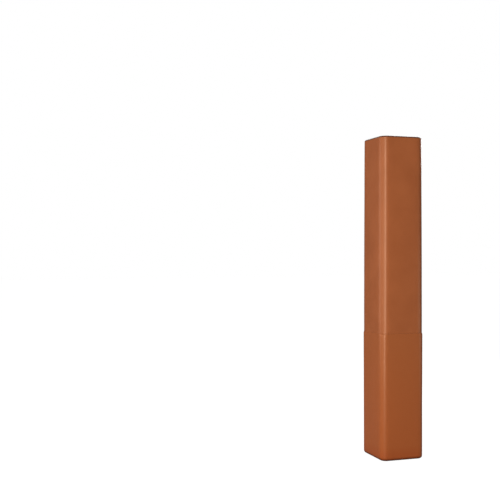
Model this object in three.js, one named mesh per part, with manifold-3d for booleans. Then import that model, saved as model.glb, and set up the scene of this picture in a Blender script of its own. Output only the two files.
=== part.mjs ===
// Basketball pole pad: a tall square sleeve of foam planks in a sewn vinyl cover.
// Three sides are one wrap, and the back is a door that folds open on the cover at the back left
// corner. A flap on the door's free edge closes it with hook and loop tape on the right side.
// Millimetres, +Z up, front towards -Y, origin on the floor under the middle of the pad.

import * as THREE from "three";
import { mergeVertices } from "three/addons/utils/BufferGeometryUtils.js";
import Module from "manifold-3d";

const wasm = await Module();
wasm.setup();

// The square opening: a nominal 6 inch square, with some ease on each side
const nominalOpening = 152.4;
const openingEase = 1.5;

// The layers of a side, from the opening outwards, and the gap between pieces that touch
const linerThickness = 1;
const foamThickness = 50.8;
const coverThickness = 1;
const fitGap = 0.3;
const fullness = 1; // how far the foam pushes the cover out past the layers' own thickness

// The outer form
const padHeight = 1829;
const upperRadius = 46; // of the four upright corners above the seam
const lowerRadius = 38; // of the same corners below it, where the foam fills them more
const topRounding = 8; // of the top edge
const bottomRounding = 15; // of the bottom edge, on which the pad's weight rests
const seamHeight = 715; // of the level seam between the upper and lower cover
const upperSwell = 2.2; // how far a side swells from the top edge down to the seam
const shoulderHeight = 12; // over which the corners fill out just below the seam
const lowerTaper = 1.3; // how far a side draws in again from the seam to the floor

// The closure on the right side
const flapReach = 75; // from the end of the corner's arc to the flap's free edge
const flapThickness = 1.2;
const flapEndMargin = 24; // from the ends of the pad to the ends of the flap
const flapClearance = 1.5; // between the flap's edges and the hollow that it lies in
const tapeThickness = 1.2;
const tapeWidth = 50;
const tapeMargin = 8; // from the flap's edges to the tape

// How finely the round forms are stepped
const cornerSteps = 8;
const roundingSteps = 4;
const shoulderSteps = 3;
const swellSteps = 7;

const overrun = 20; // how far a cutting solid runs past what it cuts

const quarterTurn = Math.PI / 2;
const diagonal = Math.SQRT2;

// Sizes that follow
const openingHalf = nominalOpening / 2 + openingEase;
const layers = linerThickness + fitGap + foamThickness + fitGap + coverThickness;
const topHalf = openingHalf + layers + fullness; // half the pad's width at the top edge
const widestHalf = topHalf + upperSwell; // at the seam
const foamInset = coverThickness + fitGap; // from the pad's surface to the foam
const foamOpeningHalf = openingHalf + linerThickness + fitGap;
const halfGap = fitGap / 2; // from a plane where two pieces meet to each of them
const foamMitreGap = halfGap + linerThickness + fitGap;
const closureStack = flapThickness + tapeThickness + tapeThickness + fitGap + fitGap + fitGap;
const arcEnd = topHalf - upperRadius; // where a side's flat ends and its corner's arc begins
const flapEdge = arcEnd - flapReach;
const flapBottom = flapEndMargin;
const flapTop = padHeight - flapEndMargin;
const reach = widestHalf + overrun;
const across = [-reach, reach];
const floorToTop = [-overrun, padHeight + overrun];

// The outermost line of an upright corner, where the cover folds as a hinge
const hingeOffset = widestHalf - lowerRadius + lowerRadius / diagonal;

// How far the corners have filled out below the seam at height z, from 0 to 1
function shoulderShareAt(z) {
  const below = THREE.MathUtils.clamp((seamHeight - z) / shoulderHeight, 0, 1);
  return Math.sin(quarterTurn * below);
}

// Half the pad's width at height z
function halfAt(z) {
  const upper = Math.min((padHeight - z) / (padHeight - seamHeight), 1);
  const lower = Math.max((seamHeight - z) / seamHeight, 0);
  return topHalf + upperSwell * Math.sin(quarterTurn * upper) - lowerTaper * lower;
}

// The radius of the upright corners at height z
function radiusAt(z) {
  return THREE.MathUtils.lerp(upperRadius, lowerRadius, shoulderShareAt(z));
}

// Even steps from a start to an end, with both of them
function steps(start, end, count) {
  return Array.from({ length: count + 1 }, (_, i) => start + ((end - start) * i) / count);
}

// The pad's level outline at height z, drawn in by an inset, anticlockwise
function outlineAt(z, inset) {
  const half = halfAt(z) - inset;
  const radius = Math.max(radiusAt(z) - inset, fitGap);
  const points = [];
  for (let corner = 0; corner < 4; corner += 1) {
    const turn = corner * quarterTurn;
    const centre = new THREE.Vector2(half - radius, half - radius);
    centre.rotateAround(new THREE.Vector2(), turn);
    for (const angle of steps(turn, turn + quarterTurn, cornerSteps)) {
      const x = centre.x + radius * Math.cos(angle);
      const y = centre.y + radius * Math.sin(angle);
      points.push([x, y]);
    }
  }
  return points;
}

// A three.js geometry as a solid that can be joined and cut
function solidOf(geometry) {
  const bare = geometry.clone();
  bare.deleteAttribute("normal");
  bare.deleteAttribute("uv");
  const merged = mergeVertices(bare);
  const vertProperties = Float32Array.from(merged.attributes.position.array);
  const triVerts = Uint32Array.from(merged.index.array);
  return new wasm.Manifold(new wasm.Mesh({ numProp: 3, vertProperties, triVerts }));
}

// A solid back as a three.js geometry, moved so that the given point is its origin
function geometryOf(solid, origin) {
  const { vertProperties, triVerts } = solid.getMesh();
  const geometry = new THREE.BufferGeometry();
  geometry.setAttribute("position", new THREE.BufferAttribute(vertProperties, 3));
  geometry.setIndex(new THREE.BufferAttribute(triVerts, 1));
  geometry.translate(-origin.x, -origin.y, -origin.z);
  geometry.computeVertexNormals();
  return geometry;
}

// The sections of a rounded end at an inset, from the end inwards: how far each lies from the
// end, and how far it is drawn in
function endSections(rounding, inset) {
  const edge = Math.max(rounding - inset, fitGap);
  return steps(0, quarterTurn, roundingSteps).map((angle) => ({
    z: inset + edge * (1 - Math.cos(angle)),
    drawn: inset + edge * (1 - Math.sin(angle)),
  }));
}

// The level sections of the pad's form at an inset, as their heights and how far each is drawn in
function sectionsAt(inset) {
  const bottom = endSections(bottomRounding, inset);
  const top = endSections(topRounding, inset).map(({ z, drawn }) => ({ z: padHeight - z, drawn }));
  const shoulder = steps(seamHeight - shoulderHeight, seamHeight, shoulderSteps);
  const upper = steps(seamHeight, padHeight - topRounding, swellSteps);
  const between = [...shoulder, ...upper.slice(1, -1)].map((z) => ({ z, drawn: inset }));
  return [...bottom, ...between, ...top.reverse()];
}

// The whole pad's form without its opening, drawn in by an inset on every face
function formAt(inset) {
  const positions = [];
  const triangles = [];
  const rings = sectionsAt(inset).map(({ z, drawn }) => outlineAt(z, drawn).map(([x, y]) => [x, y, z]));
  const count = rings[0].length;
  rings.forEach((ring) => ring.forEach((point) => positions.push(...point)));
  for (let ring = 0; ring < rings.length - 1; ring += 1) {
    for (let i = 0; i < count; i += 1) {
      const here = ring * count + i;
      const next = ring * count + ((i + 1) % count);
      triangles.push(here, next, next + count, here, next + count, here + count);
    }
  }
  const last = (rings.length - 1) * count;
  for (let i = 1; i < count - 1; i += 1) {
    triangles.push(0, i + 1, i);
    triangles.push(last, last + i, last + i + 1);
  }
  const geometry = new THREE.BufferGeometry();
  geometry.setAttribute("position", new THREE.Float32BufferAttribute(positions, 3));
  geometry.setIndex(triangles);
  return solidOf(geometry);
}

// An upright prism on an outline of [x, y] points
function prism(points, low, high) {
  const shape = new THREE.Shape(points.map(([x, y]) => new THREE.Vector2(x, y)));
  const geometry = new THREE.ExtrudeGeometry(shape, { depth: high - low, bevelEnabled: false });
  geometry.translate(0, 0, low);
  return solidOf(geometry);
}

function box([x0, x1], [y0, y1], [z0, z1]) {
  return prism([[x0, y0], [x1, y0], [x1, y1], [x0, y1]], z0, z1);
}

// The room of one side between its two mitre planes, moved outwards by an offset.
// Turn 0 is the back, 1 the left, 2 the front and 3 the right.
function sideRoom(turn, offset) {
  const tip = offset * diagonal;
  const corners = [[0, tip], [reach, tip + reach], [-reach, tip + reach]];
  const outline = corners.map(([x, y]) => {
    const point = new THREE.Vector2(x, y).rotateAround(new THREE.Vector2(), turn * quarterTurn);
    return [point.x, point.y];
  });
  return prism(outline, ...floorToTop);
}

function squareRoom(half) {
  return box([-half, half], [-half, half], floorToTop);
}

// The form with the closure's hollow let into the right side and its back corner
function hollowedFormAt(inset) {
  const low = flapBottom - flapClearance - inset;
  const high = flapTop + flapClearance + inset;
  const edge = flapEdge - flapClearance - inset;
  const hollow = box([0, reach], [edge, reach], [low, high]).subtract(formAt(inset + closureStack));
  return formAt(inset).subtract(hollow);
}

// The room over the flat part of the end at height z, inside its rounded edge
function endRoom(z, rounding, offset) {
  return prism(outlineAt(z, rounding - offset), z - rounding, z + rounding);
}

const aboveSeam = box(across, across, [seamHeight + halfGap, padHeight + overrun]);
const belowSeam = box(across, across, [-overrun, seamHeight - halfGap]);
const lengths = { upper: aboveSeam, lower: belowSeam };
const opening = squareRoom(openingHalf);
const doorRoom = sideRoom(0, halfGap);
const wrapRoom = squareRoom(reach).subtract(sideRoom(0, -halfGap));

// The cover's skin in one room, cut into its upper and lower pieces and its two end panels
function coverPieces(form, inner, room) {
  const skin = form.subtract(inner).subtract(opening).intersect(room);
  return {
    upper: skin.intersect(aboveSeam).subtract(endRoom(padHeight, topRounding, halfGap)),
    lower: skin.intersect(belowSeam).subtract(endRoom(0, bottomRounding, halfGap)),
    top: skin.intersect(endRoom(padHeight, topRounding, -halfGap)),
    bottom: skin.intersect(endRoom(0, bottomRounding, -halfGap)),
  };
}

const hollowedInner = hollowedFormAt(foamInset);
const plainInner = formAt(foamInset);
const wrapCover = coverPieces(hollowedFormAt(0), hollowedFormAt(coverThickness), wrapRoom);
const doorCover = coverPieces(formAt(0), formAt(coverThickness), doorRoom);

// The liner faces the opening and turns out along the mitre at each back corner
const lined = squareRoom(openingHalf + linerThickness);
const wrapMitres = sideRoom(0, -halfGap - linerThickness);
const doorInside = sideRoom(0, halfGap + linerThickness).subtract(lined);
const wrapLiner = hollowedInner.subtract(opening).intersect(wrapRoom).intersect(lined.add(wrapMitres));
const doorLiner = plainInner.subtract(opening).intersect(doorRoom).subtract(doorInside);

// A foam plank fills one side between mitres, in an upper and a lower length
const foamOpening = squareRoom(foamOpeningHalf);
const wrapFoam = hollowedInner.subtract(foamOpening).subtract(sideRoom(0, -foamMitreGap));
const doorFoam = plainInner.subtract(foamOpening).intersect(sideRoom(0, foamMitreGap));
const planks = {
  back: doorFoam,
  left: wrapFoam.intersect(sideRoom(1, halfGap)),
  front: wrapFoam.intersect(sideRoom(2, halfGap)),
  right: wrapFoam.intersect(sideRoom(3, halfGap)),
};

// A layer of the closure on the right side: its depth below the surface, thickness and edges
function closureLayer(depth, thickness, [yLow, yHigh], [zLow, zHigh]) {
  const layer = formAt(depth).subtract(formAt(depth + thickness));
  return layer.intersect(box([0, reach], [yLow, yHigh], [zLow, zHigh])).intersect(wrapRoom);
}

const hookDepth = flapThickness + fitGap;
const loopDepth = hookDepth + tapeThickness + fitGap;
const tapeSpan = [flapEdge + tapeMargin, flapEdge + tapeMargin + tapeWidth];
const tapeRise = [flapBottom + tapeMargin, flapTop - tapeMargin];
const flap = closureLayer(0, flapThickness, [flapEdge, reach], [flapBottom, flapTop]);
const hookTape = closureLayer(hookDepth, tapeThickness, tapeSpan, tapeRise);
const loopTape = closureLayer(loopDepth, tapeThickness, tapeSpan, tapeRise);

// What the pieces are made of
const vinyl = { color: 0x9b5632, roughness: 0.45, metalness: 0 };
const lining = { color: 0x4a3a32, roughness: 0.7, metalness: 0 };
const foam = { color: 0xd9d4c8, roughness: 0.95, metalness: 0 };
const tape = { color: 0x1c1a19, roughness: 0.95, metalness: 0 };

// The scene: the wrap, the door that turns on the back left corner, and the flap on its free edge
const pad = new THREE.Group();
const wrap = new THREE.Group();
const door = new THREE.Group();
const closure = new THREE.Group();
door.position.set(-hingeOffset, hingeOffset, 0);
closure.position.set(hingeOffset + hingeOffset, 0, 0);
pad.add(wrap, door);
door.add(closure);
pad.updateMatrixWorld(true);

function addPiece(group, name, solid, look) {
  const origin = group.getWorldPosition(new THREE.Vector3());
  const mesh = new THREE.Mesh(geometryOf(solid, origin), new THREE.MeshStandardMaterial(look));
  mesh.name = name;
  group.add(mesh);
}

for (const [length, room] of Object.entries(lengths)) {
  for (const [side, plank] of Object.entries(planks)) {
    const group = side === "back" ? door : wrap;
    addPiece(group, `${side}_foam_${length}`, plank.intersect(room), foam);
  }
  addPiece(wrap, `outer_cover_${length}`, wrapCover[length], vinyl);
  addPiece(door, `back_cover_${length}`, doorCover[length], vinyl);
}
addPiece(wrap, "top_end_panel", wrapCover.top, vinyl);
addPiece(wrap, "bottom_end_panel", wrapCover.bottom, vinyl);
addPiece(wrap, "inner_liner", wrapLiner, lining);
addPiece(wrap, "loop_tape", loopTape, tape);
addPiece(door, "back_top_panel", doorCover.top, vinyl);
addPiece(door, "back_bottom_panel", doorCover.bottom, vinyl);
addPiece(door, "back_liner", doorLiner, lining);
addPiece(closure, "closure_flap", flap, vinyl);
addPiece(closure, "hook_tape", hookTape, tape);

export default pad;
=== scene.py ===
# %% [markdown]
# # A tall pad of foam and vinyl
# The object is a square sleeve, 1.83 m tall and 27 cm across. Foam planks fill its four sides, and a sewn
# cover of coated vinyl holds them. The back folds open on its left corner, and a flap on its free edge
# closes it with hook and loop tape on the right side.
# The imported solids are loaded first. They fix where everything is, so no piece here needs fitting.

import math

import bmesh
import bpy
from mathutils import Matrix, Quaternion, Vector, noise


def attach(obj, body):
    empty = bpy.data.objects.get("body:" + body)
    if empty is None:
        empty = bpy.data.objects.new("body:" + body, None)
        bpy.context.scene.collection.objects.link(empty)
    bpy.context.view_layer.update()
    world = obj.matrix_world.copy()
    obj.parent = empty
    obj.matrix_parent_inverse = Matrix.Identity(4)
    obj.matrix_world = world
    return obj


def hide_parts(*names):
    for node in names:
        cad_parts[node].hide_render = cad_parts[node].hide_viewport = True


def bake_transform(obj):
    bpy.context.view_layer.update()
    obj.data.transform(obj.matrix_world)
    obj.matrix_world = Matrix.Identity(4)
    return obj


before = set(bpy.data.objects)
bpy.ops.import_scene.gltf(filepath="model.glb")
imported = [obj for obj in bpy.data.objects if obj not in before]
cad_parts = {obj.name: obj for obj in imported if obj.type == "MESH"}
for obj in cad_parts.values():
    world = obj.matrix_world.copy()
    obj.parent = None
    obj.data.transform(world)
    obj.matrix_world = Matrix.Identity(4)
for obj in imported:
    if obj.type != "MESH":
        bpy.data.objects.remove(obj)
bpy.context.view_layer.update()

# %% [markdown]
# ## The pad's sizes
# These are the sizes that the solids were made from, in metres. The pad is widest at the level seam, and
# below it the lower length of foam fills the cover's upright corners more, so they are squarer there.
# Two functions give half the width and the corner's radius at a height, and every piece reads them, so
# that the cover, the liner and the flap agree.

# %% Sizes in metres
opening_half = 0.0777
cover_thickness = 0.001
liner_thickness = 0.001
pad_height = 1.829
top_half = 0.1321
upper_radius = 0.046
lower_radius = 0.038
top_rounding = 0.008
bottom_rounding = 0.015
seam_height = 0.715
upper_swell = 0.0022
shoulder_height = 0.012
lower_taper = 0.0013
flap_edge = 0.0111
flap_bottom = 0.024
flap_clearance = 0.0015
flap_top = pad_height - flap_bottom
flap_thickness = 0.0012
closure_stack = 0.0045
tape_thickness = 0.0012
tape_margin = 0.008
tape_width = 0.050
fit_gap = 0.0003


def between(value, low, high):
    return max(low, min(high, value))


def mixed(a, b, share):
    return a + (b - a) * share


def shoulder_share(z):
    return math.sin(math.pi / 2 * between((seam_height - z) / shoulder_height, 0, 1))


def half_at(z):
    """Half the pad's width at a height."""
    upper = between((pad_height - z) / (pad_height - seam_height), 0, 1)
    lower = max((seam_height - z) / seam_height, 0)
    return top_half + upper_swell * math.sin(math.pi / 2 * upper) - lower_taper * lower


def radius_at(z):
    """The radius of the upright corners at a height."""
    return mixed(upper_radius, lower_radius, shoulder_share(z))


widths = [round(2 * half_at(z), 4) for z in (pad_height, seam_height, 0.0)]
print("width at the top, the seam and the foot:", *widths)

# %% [markdown]
# ## The camera
# The view is level, from a little in front of the left corner, about five metres away. The lens and the
# place were fitted to the pad's outline, so that its edges fall where they do in the picture.

# %% Camera
camera_distance = 4.979
camera_height = 1.1864
camera_turn = math.radians(27.415)
aim_turn = math.radians(17.873)
sensor_mm = 36
focal_pixels, picture_pixels = 848.3, 500

camera_data = bpy.data.cameras.new("Camera")
camera_data.sensor_width = sensor_mm
camera_data.lens = sensor_mm * focal_pixels / picture_pixels
camera = bpy.data.objects.new("Camera", camera_data)
camera.location = (
    -camera_distance * math.sin(camera_turn),
    -camera_distance * math.cos(camera_turn),
    camera_height,
)
camera.rotation_euler = (math.pi / 2, 0, -aim_turn)
bpy.context.scene.collection.objects.link(camera)
bpy.context.scene.camera = camera
print("camera at", [round(x, 3) for x in camera.location], "lens", round(camera_data.lens, 1))

# %% [markdown]
# ## Helpers for materials
# Each finish is a small tree of nodes. One helper adds a node, with plain values on its inputs or other
# nodes' outputs joined to them. Patterns read Object coordinates, which stay with the piece as it moves.

# %% Node helpers
mix_colours, mix_result = (6, 7), 2


def add_node(owner, kind, inputs=None, **settings):
    """The outputs of a new node. Each input takes a plain value, or another node's output."""
    node = owner.node_tree.nodes.new(f"ShaderNode{kind}")
    for key, value in settings.items():
        setattr(node, key, value)
    for key, value in (inputs or {}).items():
        if isinstance(value, bpy.types.NodeSocket):
            owner.node_tree.links.new(value, node.inputs[key])
        else:
            node.inputs[key].default_value = value
    return node.outputs


def new_material(name):
    """An empty material, and the coordinates that its patterns read."""
    material = bpy.data.materials.new(name)
    material.use_nodes = True
    material.node_tree.nodes.clear()
    return material, add_node(material, "TexCoord")["Object"]


def linear(red, green, blue):
    """A colour as picked on the screen, as the linear values that a shader takes."""
    parts = [c / 12.92 if c <= 0.04045 else ((c + 0.055) / 1.055) ** 2.4 for c in (red, green, blue)]
    return (*parts, 1.0)


def noise_at(material, place, scale, detail=2.0, roughness=0.5):
    inputs = {"Vector": place, "Scale": scale, "Detail": detail, "Roughness": roughness}
    return add_node(material, "TexNoise", inputs)["Fac"]


def ranged(owner, value, low, high, from_low=0.0, from_high=1.0):
    inputs = {"Value": value, "From Min": from_low, "From Max": from_high, "To Min": low, "To Max": high}
    return add_node(owner, "MapRange", inputs)["Result"]


def larger(owner, first, second):
    return add_node(owner, "Math", {0: first, 1: second}, operation="MAXIMUM")["Value"]


def mixed_colour(material, share, first, second):
    inputs = {"Factor": share, mix_colours[0]: first, mix_colours[1]: second}
    return add_node(material, "Mix", inputs, data_type="RGBA")[mix_result]


def bumped(material, height, strength, distance, under=None):
    inputs = {"Height": height, "Strength": strength, "Distance": distance}
    if under is not None:
        inputs["Normal"] = under
    return add_node(material, "Bump", inputs)["Normal"]


def finished_surface(material, colour, roughness, normal, values):
    inputs = {"Base Color": colour, "Roughness": roughness, "Normal": normal, **values}
    shader = add_node(material, "BsdfPrincipled", inputs)
    add_node(material, "OutputMaterial", {"Surface": shader["BSDF"]})
    print("material", material.name, "of", len(material.node_tree.nodes), "nodes")
    return material


# %% [markdown]
# ## Orange-brown vinyl
# The cover is cloth coated with soft vinyl. It has a fine pebbled grain, a satin shine that varies a
# little with wear, and slow waves where it isn't quite taut. Its shine is warm, because the coating is
# coloured right through. Towards the floor it is a bit deeper and redder, and over the lowest 8 cm it is
# darker and redder still: painted shade near the floor. A thin dark line along the top edge and the foot
# is painted shade too, for the crease where the cloth turns over the top seam and for the floor's contact
# shadow under the foot. A picture of vinyl could be wrapped on, but it would repeat and show its joins, so
# noise makes the finish: a Voronoi texture with cells of about a millimetre is the grain, and two larger
# scales vary colour and gloss.


# %% Vinyl
def vinyl_finish(name, with_edge_shade):
    """The vinyl. Its second argument adds a thin dark line of painted shade along the top edge and the foot.
    """
    material, place = new_material(name)
    height = add_node(material, "SeparateXYZ", {"Vector": place})["Z"]
    cloudy = ranged(material, noise_at(material, place, 7, 3), 0, 1, 0.35, 0.65)
    colour = mixed_colour(material, cloudy, linear(0.572, 0.310, 0.168), linear(0.596, 0.328, 0.182))
    for full_at, none_at, tone in (
        (0.712, 0.718, linear(0.590, 0.320, 0.168)),
        (0.10, 0.70, linear(0.612, 0.318, 0.158)),
        # This tone, darker and redder over the lowest 8 cm, is painted shade near the floor.
        (0.004, 0.080, linear(0.600, 0.285, 0.130)),
    ):
        share = ranged(material, height, 1, 0, full_at, none_at)
        colour = mixed_colour(material, share, colour, tone)
    # Painted shade: a thin dark line at the top edge for the crease of the top seam, and one at the foot for
    # the floor's contact shadow.
    if with_edge_shade:
        top_crease_shade = ranged(material, height, 0, 0.78, pad_height - 0.0092, pad_height - 0.0070)
        foot_contact_shade = ranged(material, height, 0.80, 0, 0.003, 0.020)
        dark = larger(material, top_crease_shade, foot_contact_shade)
        colour = mixed_colour(material, dark, colour, linear(0.250, 0.110, 0.060))
    roughness = ranged(material, noise_at(material, place, 23, 4, 0.6), 0.30, 0.38, 0.3, 0.7)
    cells = {"Vector": place, "Scale": 820.0, "Randomness": 1.0}
    grain = add_node(material, "TexVoronoi", cells, feature="SMOOTH_F1")["Distance"]
    pebbles = bumped(material, grain, 0.22, 0.00035)
    normal = bumped(material, noise_at(material, place, 16, 2), 0.10, 0.004, pebbles)
    warm = {"IOR": 1.48, "Specular IOR Level": 0.44, "Specular Tint": (1.0, 0.70, 0.48, 1.0)}
    return finished_surface(material, colour, roughness, normal, warm)


vinyl = vinyl_finish("pebbled_vinyl", False)
vinyl_with_painted_edge_shade = vinyl_finish("pebbled_vinyl_painted_edge_shade", True)

# %% [markdown]
# ## Lining, foam, tape and thread
# The opening is lined with a plainer dark cloth-backed sheet, and its weave shows through the thin
# coating. The foam is a pale open-cell block, pitted all over. The tape is black: one half is a field of
# stiff little hooks in rows, and the other a fuzz of loops. The thread is spun nylon.


# %% Lining
def lining_finish():
    material, place = new_material("woven_lining")
    turned = add_node(material, "Mapping", {"Vector": place, "Rotation": (0.0, 0.0, math.pi / 4)})
    cloudy = noise_at(material, place, 12, 3)
    colour = mixed_colour(material, cloudy, linear(0.235, 0.190, 0.165), linear(0.330, 0.262, 0.226))
    roughness = ranged(material, noise_at(material, place, 60, 3), 0.55, 0.72)
    normal = None
    for direction in ("X", "Z"):
        yarns = {"Vector": turned["Vector"], "Scale": 130.0, "Distortion": 0.4}
        ridges = add_node(material, "TexWave", yarns, bands_direction=direction)["Fac"]
        normal = bumped(material, ridges, 0.3, 0.0003, normal)
    return finished_surface(material, colour, roughness, normal, {"IOR": 1.45})


lining = lining_finish()


# %% Foam
def foam_finish():
    material, place = new_material("open_cell_foam")
    cells = add_node(material, "TexVoronoi", {"Vector": place, "Scale": 620.0})["Distance"]
    # The colour is darker in the pits made by the same cells as the bump: painted shade in the pits.
    shade = ranged(material, cells, 0, 1, 0.0, 0.7)
    colour = mixed_colour(material, shade, linear(0.70, 0.67, 0.60), linear(0.87, 0.85, 0.79))
    roughness = ranged(material, noise_at(material, place, 40, 2), 0.88, 0.98)
    return finished_surface(material, colour, roughness, bumped(material, cells, 0.6, 0.0008), {"IOR": 1.4})


foam = foam_finish()


# %% Tape
def tape_finish(name, scale, strength, sheen):
    material, place = new_material(name)
    cells = {"Vector": place, "Scale": scale, "Randomness": 0.35}
    pile = add_node(material, "TexVoronoi", cells)["Distance"]
    shade = ranged(material, pile, 0, 1, 0.0, 0.6)
    colour = mixed_colour(material, shade, linear(0.15, 0.145, 0.14), linear(0.075, 0.072, 0.070))
    roughness = ranged(material, noise_at(material, place, 300, 3), 0.7, 0.95)
    fuzz = {"IOR": 1.45, "Sheen Weight": sheen, "Sheen Roughness": 0.5}
    return finished_surface(material, colour, roughness, bumped(material, pile, strength, 0.0009), fuzz)


hook_cloth = tape_finish("hook_tape_pile", 560.0, 0.9, 0.05)
loop_cloth = tape_finish("loop_tape_pile", 900.0, 0.5, 0.35)


# %% Thread
def thread_finish():
    material, place = new_material("nylon_thread")
    strands = {"Vector": place, "Scale": 420.0}
    twist = add_node(material, "TexWave", strands, bands_direction="DIAGONAL")["Fac"]
    # The colour follows the bump's bands, lighter on the raised strands and darker between them: painted
    # light and shade along the twist.
    colour = mixed_colour(material, twist, linear(0.50, 0.27, 0.15), linear(0.66, 0.40, 0.25))
    roughness = ranged(material, noise_at(material, place, 500, 2), 0.45, 0.6)
    return finished_surface(material, colour, roughness, bumped(material, twist, 0.4, 0.0002), {"IOR": 1.5})


thread = thread_finish()

# %% [markdown]
# ## Cutting a sheet flat and wrapping it
# A cover like this is cut flat and wrapped round the foam. The model does the same: a grid is the flat
# cloth, its columns run up the pad and its rows run round it. A column is a corner, how many degrees it
# lies along that corner's arc, and what share of the next side it has passed. A row is a height and how
# far the cloth is drawn in there, as it is where an edge rounds over or tucks into a seam.


# %% Where a column and a row lie
def outline_place(half, radius, column):
    """The place, on a rounded square of that half width and radius, to which a column runs."""
    corner, degrees, share = column
    to_corner = Matrix.Rotation(math.radians(90 * corner), 2)
    angle = math.radians(90 * corner + degrees)
    outwards = Vector((math.cos(angle), math.sin(angle)))
    onwards = Vector((-outwards.y, outwards.x))
    centre = to_corner @ Vector((half - radius, half - radius))
    return centre + radius * outwards + onwards * share * 2 * (half - radius)


def wrapped_place(column, row):
    z, drawn = row
    flat = outline_place(half_at(z) - drawn, radius_at(z) - drawn, column)
    return Vector((flat.x, flat.y, z))


def quarter(steps):
    """The angles of a quarter turn in even steps, in radians."""
    return [math.pi / 2 * i / steps for i in range(steps + 1)]


# %% Meshes and pieces
def opened(mesh):
    bm = bmesh.new()
    bm.from_mesh(mesh)
    return bm


def write_back(bm, mesh, smooth=True):
    """Puts the bmesh into that mesh, and makes its faces smooth unless told not to."""
    if smooth:
        for face in bm.faces:
            face.smooth = True
    bm.to_mesh(mesh)
    bm.free()


def new_piece(name, bm, smooth=True):
    mesh = bpy.data.meshes.new(name)
    write_back(bm, mesh, smooth)
    piece = bpy.data.objects.new(name, mesh)
    bpy.context.scene.collection.objects.link(piece)
    return piece


def give_material(piece, material):
    piece.data.materials.clear()
    piece.data.materials.append(material)


def put_in_place(piece, node, body):
    """Says which solid the piece replaces and which body carries it."""
    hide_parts(node)
    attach(piece, body)


# %% Cut a grid and wrap it
def wrapped_sheet(name, columns, rows, place=wrapped_place):
    """A grid with that many columns and rows, each point of it moved to its place on the pad."""
    bm = bmesh.new()
    across, up = len(columns) - 1, len(rows) - 1
    bm.loops.layers.uv.new("Cloth")
    bmesh.ops.create_grid(bm, x_segments=across, y_segments=up, size=0.5, calc_uvs=True)
    column_of = bm.verts.layers.int.new("column")
    row_of = bm.verts.layers.int.new("row")
    for vert in bm.verts:
        vert[column_of] = round((vert.co.x + 0.5) * across)
        vert[row_of] = round((vert.co.y + 0.5) * up)
        vert.co = place(columns[vert[column_of]], rows[vert[row_of]])
    return new_piece(name, bm)


# %% [markdown]
# ## The columns and rows of the cover
# The columns start at the back right corner, run over the back, down the left, across the front and up the
# right. They stand closer at the back left corner, where the cloth will bend as a hinge, and on the right
# side, where it dips into the closure's hollow. The rows stand closer at the seam, at both rounded ends
# and at the two ends of the hollow.

# %% Columns
flat_cells = 14
hinge_degrees = [0, 11, 22, 31, 35, 37, 39, 41, 43, 45, 47, 49, 51, 53, 55, 59, 68, 79, 90]
arc_degrees = [90 * i / 8 for i in range(9)]
flat_shares = [i / flat_cells for i in range(1, flat_cells)]
hollow_shares = [0.500, 0.512, 0.519, 0.526, 0.533, 0.540, 0.548, 0.562]


def cover_columns():
    kept = [share for share in flat_shares if not 0.47 < share < 0.60]
    columns = [(0, degrees, 0.0) for degrees in arc_degrees if degrees >= 45]
    for corner, shares, arc in (
        (0, flat_shares, hinge_degrees),
        (1, flat_shares, arc_degrees),
        (2, flat_shares, arc_degrees),
        (3, sorted(kept + hollow_shares), [degrees for degrees in arc_degrees if degrees <= 45]),
    ):
        columns += [(corner, 90, share) for share in shares]
        columns += [(corner + 1, degrees, 0.0) for degrees in arc]
    return columns


columns = cover_columns()
last_column = len(columns) - 1
print("columns:", len(columns), "with the hinge at", columns.index((1, 45, 0.0)))


# %% Rows
def edge_rows(height, radius, inwards, steps=3):
    """Rows that roll a cloth's edge inwards at a height. Inwards is 1 where the cloth lies above it."""
    return [
        (height + inwards * radius * (1 - math.cos(angle)), radius * (1 - math.sin(angle)))
        for angle in quarter(steps)
    ]


def evenly(low, high, spacing):
    """Even steps from low to high, as near to that spacing as they come out."""
    count = max(round((high - low) / spacing), 1)
    return [mixed(low, high, i / count) for i in range(count + 1)]


def near(height):
    """Close heights where the cloth steps in at the end of the hollow."""
    return [height + step for step in (-0.0045, -0.0025, -0.001, 0.0005, 0.002, 0.004)]


def flush_rows(heights):
    return [(z, 0.0) for z in heights]


row_spacing = 0.014
seam_gap = 0.0001
seam_roll = 0.0005
tuck_rows = (0.004, 0.0022)
end_tuck = [(0.0005, 0.0008), (0.0011, 0.0013), (0.0030, 0.0014)]
hollow_low, hollow_high = flap_bottom - flap_clearance, flap_top + flap_clearance
above, below = seam_height + seam_gap, seam_height - seam_gap
upper_rows = (
    [(above, drawn) for drawn in tuck_rows]
    + edge_rows(above, seam_roll, 1)
    + flush_rows(evenly(seam_height + 0.006, hollow_high - 0.010, row_spacing) + near(hollow_high))
    + edge_rows(pad_height, top_rounding, -1, 5)[::-1]
    + [(pad_height - z, top_rounding + drawn) for z, drawn in end_tuck]
)
shoulder = [seam_height - shoulder_height * share for share in (1.5, 1.0, 0.8, 0.6, 0.42)]
side_heights = evenly(hollow_low + 0.012, seam_height - 0.030, row_spacing)
lower_rows = (
    [(z, bottom_rounding + drawn) for z, drawn in reversed(end_tuck)]
    + edge_rows(0.0, bottom_rounding, 1, 5)
    + flush_rows(near(hollow_low)[1:] + side_heights + shoulder)
    + edge_rows(below, seam_roll, -1)[::-1]
    + [(below, drawn) for drawn in reversed(tuck_rows)]
)
print("rows above and below the seam:", len(upper_rows), len(lower_rows))

# %% [markdown]
# ## The closure's hollow
# The flap and its two tapes would stand proud of the right side, so the foam is pressed in under them and
# the cover dips by the thickness of the whole stack. The dip is eased over a few millimetres, as cloth
# over foam does it.


# %% How deep the hollow is at a point
def eased(value, low, high):
    share = between((value - low) / (high - low), 0, 1)
    return share * share * (3 - 2 * share)


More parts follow.
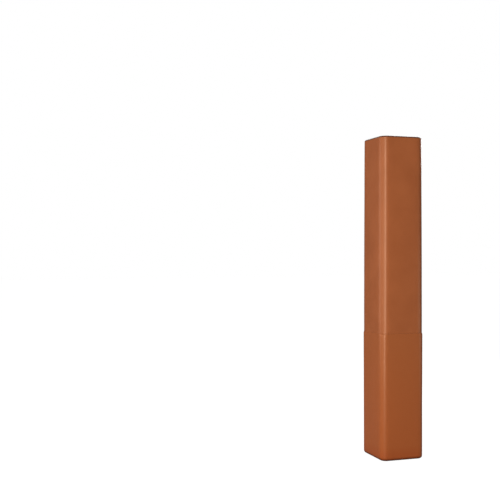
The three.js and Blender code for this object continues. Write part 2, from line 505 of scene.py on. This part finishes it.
def hollow_depth(point):
    """How far the cloth dips at a point of the right side or of its back corner."""
    if point.x < 0.05 or point.y < 0 or point.y > point.x + 1e-4:
        return 0.0
    side = eased(point.y, flap_edge - 0.0048, flap_edge - 0.0004)
    low = eased(point.z, hollow_low - 0.0030, hollow_low + 0.0012)
    high = eased(point.z, hollow_high + 0.0030, hollow_high - 0.0012)
    return closure_stack * side * low * high


def cover_place(column, row):
    """Where a column and a row lie, drawn in by the hollow on the right side."""
    depth = hollow_depth(wrapped_place(column, row)) if column[0] >= 3 else 0.0
    return wrapped_place(column, (row[0], row[1] + depth))


print("hollow:", round(hollow_depth(Vector((0.13, 0.05, 0.9))), 4), "deep")

# %% [markdown]
# ## Letting the foam push the cover out
# A cover is sewn a little tight, so the foam crowns each side and the corners are pulled in. A short cloth
# simulation gives that form: the sheet is held at its seams, the foam is an even pressure from inside,
# and gravity is off. How far a point may move is then capped by scaling the whole movement, which keeps
# its shape smooth, and hardly any of a movement into the foam is kept, because the foam is in the way
# there. A little slow unevenness is added, because cloth over foam is never perfectly flat.


# %% Cloth under pressure
foam_pressure = 4.0
swell_cap = 0.0020
foam_stops = 0.93
frames = 20


def let_swell(piece, held):
    """Runs the cloth and keeps its movement outwards, scaled to stay within the cap."""
    mesh = piece.data
    before = [vert.co.copy() for vert in mesh.vertices]
    normals = [vert.normal.copy() for vert in mesh.vertices]
    group = piece.vertex_groups.new(name="held")
    group.add(held, 1.0, "REPLACE")
    cloth = piece.modifiers.new("Push of the foam", "CLOTH")
    settings = cloth.settings
    settings.quality = 5
    settings.mass = 0.4
    settings.tension_stiffness = 40
    settings.compression_stiffness = 40
    settings.shear_stiffness = 20
    settings.bending_stiffness = 2
    settings.air_damping = 2
    settings.vertex_group_mass = "held"
    settings.use_pressure = True
    settings.uniform_pressure_force = foam_pressure
    settings.effector_weights.gravity = 0
    cloth.point_cache.frame_start = 1
    cloth.point_cache.frame_end = frames
    for step in range(1, frames + 1):
        bpy.context.scene.frame_set(step)
    depsgraph = bpy.context.evaluated_depsgraph_get()
    after = [vert.co.copy() for vert in piece.evaluated_get(depsgraph).data.vertices]
    piece.modifiers.remove(cloth)
    piece.vertex_groups.remove(group)
    bpy.context.scene.frame_set(1)
    furthest = max((b - a).length for a, b in zip(before, after))
    scale = min(1.0, swell_cap / max(furthest, 1e-9))
    for vert, a, b, outwards in zip(mesh.vertices, before, after, normals):
        move = (b - a) * scale
        into_foam = min(move.dot(outwards), 0)
        vert.co = a + move - outwards * into_foam * foam_stops
    return furthest


# %% Slow unevenness
slack = 0.00045
pucker_reach = 0.022


def add_slack(piece, free, seed):
    """Moves the free points in and out a little, in slow waves, with small puckers towards the seam."""
    mesh = piece.data
    normals = [vert.normal.copy() for vert in mesh.vertices]
    for index in free:
        vert = mesh.vertices[index]
        place = vert.co
        slow = noise.noise(Vector((place.x * 9, place.y * 9, place.z * 5 + seed)))
        to_seam = math.exp(-abs(place.z - seam_height) / pucker_reach)
        pucker = noise.noise(Vector((place.x * 48, place.y * 48, place.z * 10 + seed)))
        vert.co = place + normals[index] * (slack * slow + 0.55 * slack * to_seam * pucker)


# %% The whole cover, above and below the seam
held_end = 0.03
held_columns = 4
hollow_margin = Vector((0.004, 0, 0))


def whole_cover(name, rows, seed):
    """The cover above or below the seam. A seam, a rounded end, an edge or the hollow holds its points."""
    sheet = wrapped_sheet(name, columns, rows, cover_place)
    mesh = sheet.data
    column_of = mesh.attributes["column"].data
    row_of = mesh.attributes["row"].data
    held, free = [], []
    for vert in mesh.vertices:
        z, drawn = rows[row_of[vert.index].value]
        column = column_of[vert.index].value
        at_end = drawn > 0 or not held_end < z < pad_height - held_end
        at_edge = column == 0 or column >= last_column - held_columns
        in_hollow = hollow_depth(vert.co + hollow_margin) > 0.0001
        (held if at_end or at_edge or in_hollow else free).append(vert.index)
    moved = let_swell(sheet, held)
    add_slack(sheet, free, seed)
    print(name, "points:", len(mesh.vertices), "moved up to", round(moved * 1000, 1), "mm before the cap")
    return sheet


upper_cover = whole_cover("whole_upper_cover", upper_rows, 3.0)
lower_cover = whole_cover("whole_lower_cover", lower_rows, 11.0)

# %% [markdown]
# ## Cutting the cover into its pieces
# The cloth runs in one piece from the right side round the front and left to just past the hinge corner.
# The back panel has its own piece, which turns with it, and the strip under the closure is the third. The
# joins lie on flat cloth at the back and on the right, and both sides of a join share the same points.
# Where a piece ends at the free mitre, its edge is turned in.


# %% Cut out some columns and turn in an edge
def cut_columns(sheet, name, first, last):
    """A new piece with the faces between two columns of the whole cover."""
    bm = opened(sheet.data)
    column_of = bm.verts.layers.int["column"]
    outside = [f for f in bm.faces if not all(first <= v[column_of] <= last for v in f.verts)]
    bmesh.ops.delete(bm, geom=outside, context="FACES")
    return new_piece(name, bm)


def is_flush(z, drawn):
    """Whether a row lies at the surface, on a side or a rounded end, and isn't tucked into a seam."""
    if z > pad_height - top_rounding:
        return drawn <= top_rounding + 1e-9
    if z < bottom_rounding:
        return drawn <= bottom_rounding + 1e-9
    return drawn < tuck_rows[0]


def extended(bm, edges, move):
    """Extends the cloth from some edges by a move, and gives its new edges and points."""
    made = bmesh.ops.extrude_edge_only(bm, edges=edges)["geom"]
    verts = [g for g in made if isinstance(g, bmesh.types.BMVert)]
    bmesh.ops.translate(bm, verts=verts, vec=move)
    edges = [g for g in made if isinstance(g, bmesh.types.BMEdge)]
    return [e for e in edges if all(v in verts for v in e.verts)], verts


def turn_in_edge(piece, column, rows, moves):
    """Turns the cloth's edge at one column inwards, in a few moves, where a row lies at the surface."""
    bm = opened(piece.data)
    column_of = bm.verts.layers.int["column"]
    row_of = bm.verts.layers.int["row"]

    def on_edge(vert):
        return vert[column_of] == column and is_flush(*rows[vert[row_of]])

    edge = [e for e in bm.edges if e.is_boundary and all(on_edge(v) for v in e.verts)]
    for move in moves:
        edge, verts = extended(bm, edge, move)
        for vert in verts:
            vert[column_of] = -1
    write_back(bm, piece.data)


# %% Give the cloth its thickness
sharp_angle = math.radians(50)


def make_cloth(piece, thickness, levels=1):
    """The sheet with its subdivision and its thickness, as its final mesh."""
    if levels:
        smoother = piece.modifiers.new("Smoother", "SUBSURF")
        smoother.levels = smoother.render_levels = levels
        smoother.boundary_smooth = "PRESERVE_CORNERS"
    wall = piece.modifiers.new("Thickness", "SOLIDIFY")
    wall.thickness = thickness
    wall.offset = -1
    wall.use_even_offset = False
    depsgraph = bpy.context.evaluated_depsgraph_get()
    final = bpy.data.meshes.new_from_object(piece.evaluated_get(depsgraph))
    piece.modifiers.clear()
    piece.data = final
    final.set_sharp_from_angle(angle=sharp_angle)
    print(piece.name, "has", len(final.polygons), "faces")


# %% The cover's pieces
back_join = columns.index((0, 90, 10 / flat_cells))
side_join = columns.index((3, 90, 4 / flat_cells))
mitre_right = Vector((-1, -1, 0)).normalized()
mitre_hem, hem_bend = 0.0083, 0.0008
print("joins at columns", back_join, side_join)


def bend_across(piece):
    """Bakes the piece's place into its points. It is put on neither body here."""
    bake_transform(piece)


def cover_pieces(sheet, length, rows):
    """Cuts the three pieces of one length of the cover. The back piece goes on the back door and the closure
    side on the wrap; the outer piece goes on neither.
    """
    aside = Vector((0.0001, -0.0001, 0.0))
    for kind, node, first, last, edge, bend in (
        ("outer", "outer", back_join, side_join, None, None),
        ("closure_side", "outer", side_join, last_column, last_column, aside),
        ("back", "back", 0, back_join, 0, -aside),
    ):
        piece = cut_columns(sheet, f"{kind}_vinyl_{length}", first, last)
        if bend:
            moves = [mitre_right * hem_bend + bend, mitre_right * (mitre_hem - hem_bend)]
            turn_in_edge(piece, edge, rows, moves)
        make_cloth(piece, cover_thickness)
        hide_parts(f"{node}_cover_{length}")
        # The cover's cloth carries the thin dark lines of painted shade along its top edge and foot.
        give_material(piece, vinyl_with_painted_edge_shade)
        if kind == "outer":
            bend_across(piece)
        else:
            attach(piece, "back_door" if kind == "back" else "wrap")
    bpy.data.objects.remove(sheet)


cover_pieces(upper_cover, "upper", upper_rows)
cover_pieces(lower_cover, "lower", lower_rows)

# %% [markdown]
# ## The end panels
# The top and the bottom are closed by flat vinyl panels with a square hole. Each is sewn to the side
# cloth along the rounded edge and turns into the opening round a soft lip. The panel is cut as a ring of
# the same columns, and a row is now a height and a share of the way from the outer seam to the opening.
# The back panel has its own quarter of the ring, parted from the rest at the two mitres.

# %% Rows of an end panel
lip = 0.003
panel_inset = 0.0012
panel_crown = 0.0010
inner_radius = 0.0015
panel_cells = 7
tucked, turned = 0.004, 0.0085


def panel_place(column, row):
    z, share, rounding = row
    edge = pad_height if rounding == top_rounding else 0.0
    half = half_at(edge) - rounding - panel_inset
    radius = radius_at(edge) - rounding - panel_inset
    flat = outline_place(mixed(half, opening_half, share), mixed(radius, inner_radius, share), column)
    return Vector((flat.x, flat.y, z))


def panel_rows(surface, inwards, rounding, crown):
    """Rows from the outer seam to the lip. Inwards is -1 at the top, where inside lies below."""
    width = half_at(surface) - rounding - panel_inset - opening_half
    rows = [(tucked, 0.0), (0.0012, 0.0), (0.0003, 0.0009)]
    for i in range(panel_cells + 1):
        rise = crown * math.sin(math.pi * i / panel_cells)
        rows.append((-rise, mixed(0.0030, width - lip, i / panel_cells)))
    rows += [(lip * (1 - math.cos(a)), width - lip * (1 - math.sin(a))) for a in quarter(3)[1:]]
    rows.append((0.010, width))
    return [(surface + inwards * below, out / width, rounding) for below, out in rows]


# %% Cut and place the panels
def ring_columns(start_corner, sides):
    """Columns over some sides of the ring, running on a little past the mitre at each end."""
    found = [(start_corner, degrees, 0.0) for degrees in arc_degrees if degrees >= 22]
    for corner in range(start_corner, start_corner + sides):
        found += [(corner, 90, share) for share in flat_shares]
        at_end = corner == start_corner + sides - 1
        found += [(corner + 1, degrees, 0.0) for degrees in arc_degrees if degrees < 68 or not at_end]
    return found


def trim_at_mitre(bm, left, away, surface, inwards):
    """Cuts the panel just short of one mitre and turns its edge inside there."""
    faces = [f for f in bm.faces if f.calc_center_median().y > 0 and (f.calc_center_median().x < 0) == left]
    short, near_top = 0.0011, 0.0013
    geom = [*faces, *{e for f in faces for e in f.edges}, *{v for f in faces for v in f.verts}]
    bmesh.ops.bisect_plane(bm, geom=geom, plane_co=away * short, plane_no=-away, clear_outer=True)

    def at_cut(vert):
        off_cut, below = abs(vert.co.dot(away) - short), abs(vert.co.z - surface)
        return off_cut < 1e-6 and below < near_top and vert.co.y > 0

    edge = [e for e in bm.edges if e.is_boundary and all(at_cut(v) for v in e.verts)]
    inside = Vector((0, 0, inwards))
    for move in (inside * hem_bend - away * hem_bend, inside * tucked):
        edge = extended(bm, edge, move)[0]


def end_panel(node, at_top, on_back):
    surface, inwards, rounding = (pad_height, -1, top_rounding) if at_top else (0.0, 1, bottom_rounding)
    rows = panel_rows(surface, inwards, rounding, panel_crown if at_top else 0.0)
    ring = ring_columns(0, 1) if on_back else ring_columns(1, 3)
    panel = wrapped_sheet(f"{node}_cloth", ring, rows, panel_place)
    bm = opened(panel.data)
    if not at_top:
        bmesh.ops.reverse_faces(bm, faces=bm.faces[:])
    for left in (True, False):
        away = Vector((1 if left else -1, 1, 0)).normalized() * (1 if on_back else -1)
        trim_at_mitre(bm, left, away, surface, inwards)
    write_back(bm, panel.data)
    make_cloth(panel, cover_thickness)
    give_material(panel, vinyl)
    put_in_place(panel, node, "back_door" if on_back else "wrap")


end_panel("top_end_panel", True, False)
end_panel("back_top_panel", True, True)
end_panel("bottom_end_panel", False, False)
end_panel("back_bottom_panel", False, True)

# %% [markdown]
# ## The liner
# A dark liner covers the opening's four sides and turns out along the mitres, so that no foam shows
# when the back is open. One sheet lines the front and both sides, and a second one the back. Each is a
# grid again, and its columns follow a path in plan: in along one mitre, round the opening and out along
# the other.


# %% Plan path of a liner
face = opening_half + 0.0002
liner_gap = 0.0009
along_side = 1.41 * liner_gap
fold_gap, hem_overlap = 0.0014, 0.0010


def end_drawn(z):
    """How far the rounded ends draw the form in at a height."""
    for rounding, past in (
        (top_rounding, z - (pad_height - top_rounding)),
        (bottom_rounding, bottom_rounding - z),
    ):
        if past > 0:
            return rounding - math.sqrt(max(rounding**2 - past**2, 0))
    return 0.0


def apex_reach(z):
    """How far a corner's outermost line is from the pad's axis at a height."""
    half, radius = half_at(z), radius_at(z)
    return math.sqrt(2) * (half - radius) + radius - end_drawn(z)


def liner_corners(z, on_back):
    """The liner's plan path at a height, for the back panel or for the other three sides."""
    left, right = Vector((-1, 1)).normalized(), Vector((1, 1)).normalized()
    far_left = left * (apex_reach(z) - fold_gap)
    far_right = right * (apex_reach(z) - mitre_hem + hem_overlap)
    near_left, near_right = Vector((-face, face)), Vector((face, face))
    to_left, to_right = left * liner_gap, right * liner_gap
    if on_back:
        step = Vector((along_side, 0))
        return [far_right + to_left, near_right - step, near_left + step, far_left + to_right]
    step = Vector((0, along_side))
    fronts = [Vector((-face, -face)), Vector((face, -face))]
    return [far_left - to_right, near_left - step, *fronts, near_right - step, far_right - to_left]


# %% Where a liner ends, and its rows
liner_stop = 0.0045
end_gap = 0.0013
liner_heights = (
    [liner_stop, 0.0062, 0.0082, 0.0107, 0.0140]
    + evenly(0.0185, pad_height - 0.0120, 0.020)
    + [pad_height - stop for stop in (0.0080, 0.0062, liner_stop)]
)
print("rows of a liner:", len(liner_heights))


def end_stop(reach, at_top):
    """How far a liner stops short of an end at that distance from the axis: less, along the rounded end,
    outside the end panel, so that the liner meets the cover there."""
    rounding = top_rounding if at_top else bottom_rounding
    panel_reach = apex_reach(pad_height if at_top else 0.0)
    outside = between(reach - panel_reach, 0, rounding)
    along_end = rounding - math.sqrt(rounding**2 - outside**2) + end_gap
    return mixed(liner_stop, min(along_end, liner_stop), eased(reach, panel_reach - 0.0030, panel_reach))


# %% Cut and place the liners
fine_shares = [0.045 * i for i in range(1, 7)] + [0.45, 0.70, 1.0]


def ease_edges(bm, angle, offset, segments):
    """Rounds over every edge that is sharper than an angle."""
    bmesh.ops.bevel(
        bm,
        geom=[e for e in bm.edges if e.calc_face_angle(0) > angle],
        offset=offset,
        segments=segments,
        profile=0.5,
        affect="EDGES",
        material=-1,
        clamp_overlap=True,
    )


def liner(node, on_back, cells):
    """A liner with that many cells between the corners of its path, and finer ones next to the fold."""
    corners = liner_corners(1.0, on_back)
    lengths = [(b - a).length for a, b in zip(corners, corners[1:])]
    width = sum(lengths)
    starts = [sum(lengths[:i]) / width for i in range(len(lengths))]
    at_fold = len(lengths) - 1 if on_back else 0
    shares = [0.0]
    for index, (length, count) in enumerate(zip(lengths, cells)):
        steps = [i / count for i in range(1, count + 1)]
        if index == at_fold:
            steps = [1 - step for step in reversed([0.0] + fine_shares[:-1])] if on_back else fine_shares
        shares += [shares[-1] + length / width * step for step in steps]

    def liner_place(share, z):
        path = liner_corners(z, on_back)
        index = max([0] + [i for i, start in enumerate(starts) if share > start + 1e-9])
        part = between((share - starts[index]) / (lengths[index] / width), 0, 1)
        flat = path[index].lerp(path[index + 1], part)
        if z == liner_heights[0]:
            z = end_stop(flat.length, False)
        elif z == liner_heights[-1]:
            z = pad_height - end_stop(flat.length, True)
        return Vector((flat.x, flat.y, z))

    piece = wrapped_sheet(f"{node}_cloth", shares, liner_heights, liner_place)
    bm = opened(piece.data)
    bm.faces.ensure_lookup_table()
    bmesh.ops.recalc_face_normals(bm, faces=bm.faces[:])
    probe = bm.faces[len(bm.faces) // 2]
    middle = probe.calc_center_median()
    if probe.normal.dot(Vector((middle.x, middle.y, 0))) > 0:
        bmesh.ops.reverse_faces(bm, faces=bm.faces[:])
    ease_edges(bm, 0.6, 0.0025, 3)
    write_back(bm, piece.data)
    make_cloth(piece, liner_thickness, 0)
    give_material(piece, lining)
    put_in_place(piece, node, "back_door" if on_back else "wrap")


liner("inner_liner", False, [5, 9, 9, 9, 5])
liner("back_liner", True, [5, 9, 5])

# %% [markdown]
# ## Foam planks
# Eight planks fill the cover: one in each side, in an upper and a lower length. They are cut from block
# foam, so they keep the solids' form, with their loose triangles merged into clean faces and every cut
# edge eased a little, as a knife leaves it.


# %% Planks from the solids
def plank(node):
    bm = opened(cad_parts[node].data)
    bmesh.ops.remove_doubles(bm, verts=bm.verts[:], dist=0.00001)
    bmesh.ops.dissolve_limit(bm, angle_limit=math.radians(2), verts=bm.verts[:], edges=bm.edges[:])
    ease_edges(bm, math.radians(35), 0.0012, 2)
    bmesh.ops.triangulate(bm, faces=[f for f in bm.faces if len(f.verts) > 4])
    piece = new_piece(node.replace("_foam_", "_foam_plank_"), bm, smooth=False)
    give_material(piece, foam)
    put_in_place(piece, node, "back_door" if node.startswith("back") else "wrap")
    print(piece.name, "has", len(piece.data.polygons), "faces")


for length in ("upper", "lower"):
    for side in ("front", "left", "right", "back"):
        plank(f"{side}_foam_{length}")

# %% [markdown]
# ## The closure flap
# The flap is a strip of the same vinyl with a turned hem. It is sewn onto the back panel just past the
# corner, runs over the corner and lies in the hollow of the right side. It is a grid once more: columns
# run from the free edge to the sewn one, and the free edge has two round corners. The hem is a touch
# thicker than the rest.

# %% The flap's columns and rows
flap_corner = 0.012
hem_width, hem_rise, edge_drop = 0.012, 0.00025, 0.00005
lap_degrees = 45 + 27
lap_lift = 0.0001
hem_column = 0.09
flap_arc = [8, 16, 24, 31, 36, 39, 42, 45, 48, 51, 54, 59, 64, 68, lap_degrees - 1.2, lap_degrees]
flap_columns = (
    [0.0, 0.02, 0.045, hem_column, 0.14, 0.19, 0.205, 0.23]
    + evenly(0.3, 1.0, 0.1)
    + [1.0 + degrees / 100 for degrees in flap_arc]
)
flap_ends = [0.0, 0.0008, 0.003, 0.006, 0.0095, 0.0115, 0.0128, 0.016]
flap_heights = (
    [flap_bottom + step for step in flap_ends]
    + evenly(flap_bottom + 0.024, flap_top - 0.024, 0.016)
    + [flap_top - step for step in reversed(flap_ends)]
)
print("the flap's columns and rows:", len(flap_columns), len(flap_heights))


def to_end(z):
    """How far a height is from the nearer end of the flap."""
    return min(z - flap_bottom, flap_top - z)


def free_edge(z):
    """Where the flap's free edge is at a height, with the round of its corners."""
    round_left = max(flap_corner - to_end(z), 0)
    return flap_edge + flap_corner - math.sqrt(max(flap_corner**2 - round_left**2, 0))


def flap_place(column, z):
    """On the side's flat a column is a share of it. Past 1 it is the arc's degrees, in hundredths."""
    half, radius = half_at(z), radius_at(z)
    arc_start = half - radius
    hem = hem_rise if to_end(z) < hem_width else 0.0
    if column <= 1.0:
        y = mixed(free_edge(z), arc_start, column)
        if y - free_edge(z) < hem_width:
            hem = hem_rise
        if column == 0.0 or to_end(z) < 0.0005:
            hem = -edge_drop
        return Vector((half + hem, y, z))
    degrees = (column - 1.0) * 100
    lifted = flap_thickness * eased(degrees, 45, 52) + lap_lift
    angle = math.radians(degrees)
    reach = radius + hem + lifted
    return Vector((arc_start + reach * math.cos(angle), arc_start + reach * math.sin(angle), z))


# %% Cut and place the flap
flap = wrapped_sheet("closure_flap_cloth", flap_columns, flap_heights, flap_place)
make_cloth(flap, flap_thickness)
give_material(flap, vinyl)
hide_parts("closure_flap")
bend_across(flap)

# %% [markdown]
# ## Hook and loop tape
# Two strips of tape run the flap's whole length: the hook half on the flap and the loop half on the side
# of the pad under it. Each is a narrow woven strip with a pile on one face and firm, flat edges.


# %% Tapes
def tape_strip(node, depth, cloth, outwards, body):
    """A strip on the right side, its outer face at that depth below the surface."""
    low = flap_edge + tape_margin
    edges = [0.0, 0.03, 0.06]
    shares = edges + [0.06 + 0.88 * i / 6 for i in range(1, 6)] + [1 - e for e in reversed(edges)]
    heights = evenly(flap_bottom + tape_margin, flap_top - tape_margin, 0.016)
    selvedge = 0.0004 if outwards else 0.0

    def tape_place(share, z):
        shown = depth + (0.0 if 0.05 <= share <= 0.95 else selvedge)
        return Vector((half_at(z) - shown, mixed(low, low + tape_width, share), z))

    strip = wrapped_sheet(f"{node}_strip", shares, heights, tape_place)
    make_cloth(strip, tape_thickness - selvedge, 0)
    give_material(strip, cloth)
    put_in_place(strip, node, body)


hook_depth = flap_thickness + fit_gap
tape_strip("hook_tape", hook_depth, hook_cloth, False, "closure_flap")
tape_strip("loop_tape", hook_depth + tape_thickness + fit_gap, loop_cloth, True, "wrap")

# %% [markdown]
# ## Stitching
# Thread shows where the flap is sewn: two rows along the back panel, and one along the hem on the other
# three edges. A stitch is a small flattened bead, 4 mm long. All stitches of one body are one mesh, so
# that they move with the cloth they hold.


# %% Rows of stitches
stitch_pitch, stitch_share = 0.0052, 0.0455
stitch_half = (0.00042, 0.0020, 0.00028)
thread_lift = 0.0001
hem_margin = 0.006
batch = 24


def add_stitch(bm, centre, along, outwards):
    """One stitch, lying along the cloth with its middle just proud of it."""
    side = along.cross(outwards).normalized()
    turn = Matrix((side, along.normalized(), outwards.normalized())).transposed().to_4x4()
    size = Matrix.Diagonal((*stitch_half, 1.0))
    place = Matrix.Translation(centre) @ turn @ size
    bmesh.ops.create_uvsphere(bm, u_segments=6, v_segments=4, radius=1.0, matrix=place)


def stitched_rows(name, rows, body):
    """A piece with a stitch at each step of some rows. A row is a list of places and their outward turns.
    Stitches are made in small batches, because adding to a large mesh is slow."""
    whole, part = bmesh.new(), bmesh.new()
    carrier = bpy.data.meshes.new("stitches")
    steps = [step for row in rows for step in zip(row, row[1:])]
    for count, ((start, out_start), (end, out_end)) in enumerate(steps, 1):
        add_stitch(part, (start + end) / 2, end - start, (out_start + out_end) / 2)
        if count % batch == 0 or count == len(steps):
            part.to_mesh(carrier)
            whole.from_mesh(carrier)
            part.clear()
    part.free()
    bpy.data.meshes.remove(carrier)
    piece = new_piece(name, whole)
    give_material(piece, thread)
    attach(piece, body)
    print(name, "has", len(steps), "stitches")


def upright_row(column, margin):
    angle = math.radians(max(column - 1.0, 0) * 100)
    out = Vector((math.cos(angle), math.sin(angle), 0))
    heights = evenly(flap_bottom + margin, flap_top - margin, stitch_pitch)
    return [(flap_place(column, z) + out * thread_lift, out) for z in heights]


def level_row(z):
    out = Vector((1, 0, 0))
    shares = evenly(hem_column, 1.0, stitch_share)
    return [(flap_place(share, z) + out * thread_lift, out) for share in shares]


level_rows = [level_row(z) for z in (flap_bottom + hem_margin, flap_top - hem_margin)]
stitched_rows("flap_hem_stitches", [upright_row(hem_column, hem_margin), *level_rows], "closure_flap")
lap_rows = [upright_row(1.0 + (lap_degrees - back) / 100, 0.003) for back in (6, 14)]
stitched_rows("flap_lap_stitches", lap_rows, "back_door")

# %% [markdown]
# ## Floor, light and background
# The pad stands on a plain pale floor. Light from all sides alike would show no band on the rounded
# corner, and the band tells the eye that the vinyl is smooth. So a tall narrow soft light stands in front
# of the left corner and makes the bright upright band there, and two wider, weaker ones further round to
# the left give the softer step beside it. A low one on the right keeps the front from darkening towards
# that side. Small ones above pick out the top edge, and a large one behind lights the right side and the
# back. Even light from all round keeps the shaded parts open.
#
# What the camera sees behind the pad is white. Nothing here is glass or metal, so reflections see only
# the lamps and a dim even light, which keeps the vinyl's colour deep where it turns away.

# %% Floor
floor_bm = bmesh.new()
bmesh.ops.create_grid(floor_bm, x_segments=8, y_segments=8, size=30.0)
floor = new_piece("floor", floor_bm, smooth=False)
plain_white = (1, 1, 1, 1)
floor_glow = 0.94
print("floor:", len(floor.data.polygons), "faces")


def floor_finish():
    material, place = new_material("pale_floor")
    cloudy = noise_at(material, place, 3, 2)
    colour = mixed_colour(material, cloudy, (0.150, 0.150, 0.147, 1), (0.170, 0.170, 0.167, 1))
    pale = add_node(material, "BsdfDiffuse", {"Color": colour})
    seen = ranged(material, add_node(material, "LightPath")["Is Camera Ray"], 0, floor_glow)
    glow = add_node(material, "Emission", {"Color": plain_white, "Strength": seen})
    both = add_node(material, "AddShader", {0: pale["BSDF"], 1: glow["Emission"]})
    add_node(material, "OutputMaterial", {"Surface": both["Shader"]})
    return material


floor.data.materials.append(floor_finish())

# %% World
ambient, reflected = 0.40, 0.09
world = bpy.data.worlds.new("Even light")
bpy.context.scene.world = world
world.use_nodes = True
world.node_tree.nodes.clear()
rays = add_node(world, "LightPath")
seen = larger(world, rays["Is Camera Ray"], rays["Is Transmission Ray"])
level = ranged(world, rays["Is Glossy Ray"], ambient, reflected)
soft = add_node(world, "Background", {"Color": plain_white, "Strength": level})
white = add_node(world, "Background", {"Color": plain_white, "Strength": 1.0})
choice = add_node(world, "MixShader", {"Fac": seen, 1: soft["Background"], 2: white["Background"]})
add_node(world, "OutputWorld", {"Surface": choice["Shader"]})
print("even light:", ambient)


# %% Lamps
def soft_lamp(name, turn, distance, height, size, power, aim=None, lean=0):
    """A soft light on a circle round the pad, aimed at its axis. Its turn is 0 in front, 90 at the right."""
    data = bpy.data.lights.new(name, "AREA")
    data.shape = "RECTANGLE"
    data.size, data.size_y = size
    data.energy = power
    lamp = bpy.data.objects.new(name, data)
    angle = math.radians(turn)
    lamp.location = (distance * math.sin(angle), -distance * math.cos(angle), height)
    target = Vector((0, 0, height if aim is None else aim))
    facing = (target - lamp.location).to_track_quat("-Z", "Y")
    lamp.rotation_euler = (facing @ Quaternion((0, 0, 1), math.radians(lean))).to_euler()
    lamp.visible_camera = False
    bpy.context.scene.collection.objects.link(lamp)
    print(name, "at", [round(x, 2) for x in lamp.location], "with", power, "W")


soft_lamp("Front left light", -36.5, 3.2, 1.40, (0.44, 2.8), 88, lean=-4)
soft_lamp("Wide front left light", -66, 3.2, 1.45, (1.4, 2.6), 26)
soft_lamp("Left light", -110, 4.0, 1.40, (3.2, 2.4), 46)
soft_lamp("Low right light", 56, 4.0, 0.60, (1.4, 1.2), 12)
soft_lamp("Light above the right", 48, 1.3, 3.6, (0.4, 0.4), 3, 1.8)
soft_lamp("Light above the back", -172, 2.4, 3.0, (0.5, 0.3), 3, 1.8)
soft_lamp("Back right light", 135, 3.4, 3.0, (1.8, 2.2), 88, 1.0)
bpy.context.scene.view_settings.view_transform = "Standard"
